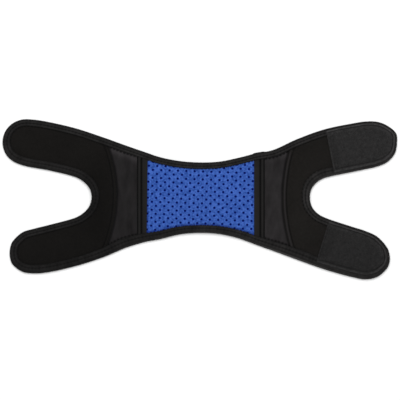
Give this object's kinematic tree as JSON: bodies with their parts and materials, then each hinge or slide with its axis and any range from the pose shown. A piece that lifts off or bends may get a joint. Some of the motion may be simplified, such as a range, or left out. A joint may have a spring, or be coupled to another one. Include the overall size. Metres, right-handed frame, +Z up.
{
  "type": "knee support with patella opening",
  "caption": "Open wrap-round knee support, laid flat: four arms with hook pads leave notches that meet round the kneecap, with a pierced panel for the hollow of the knee.",
  "frame": {"origin": "under the middle of the support's box, on the surface that it lies on", "axes": "+X along the support to the arms with the hook pads, +Y across it to the edge where the binding laps, +Z up out of the inner face"},
  "size_m": [0.4932, 0.2002, 0.0082],
  "materials": {
    "foam_fabric": "soft brushed loop fabric on foam, near black",
    "smooth_knit": "fine smooth stretch knit, dark grey",
    "blue_knit": "fine knit on thin foam, royal blue",
    "black_cloth": "plain black cloth",
    "seam_tape": "ribbed woven tape, near black",
    "binding_tape": "woven binding tape with a soft sheen, dark grey",
    "hook_fastener": "field of small nylon hooks, dark grey"
  },
  "bodies": {
    "root": {"wing_left": "foam_fabric", "wing_right": "foam_fabric", "elastic_panel_left": "smooth_knit", "elastic_panel_right": "smooth_knit", "perforated_panel": "blue_knit", "panel_backing": "black_cloth", "seam_tape_left": "seam_tape", "seam_tape_right": "seam_tape", "edge_binding": "binding_tape", "hook_pad_upper": "hook_fastener", "hook_pad_lower": "hook_fastener"}
  },
  "joints": []
}
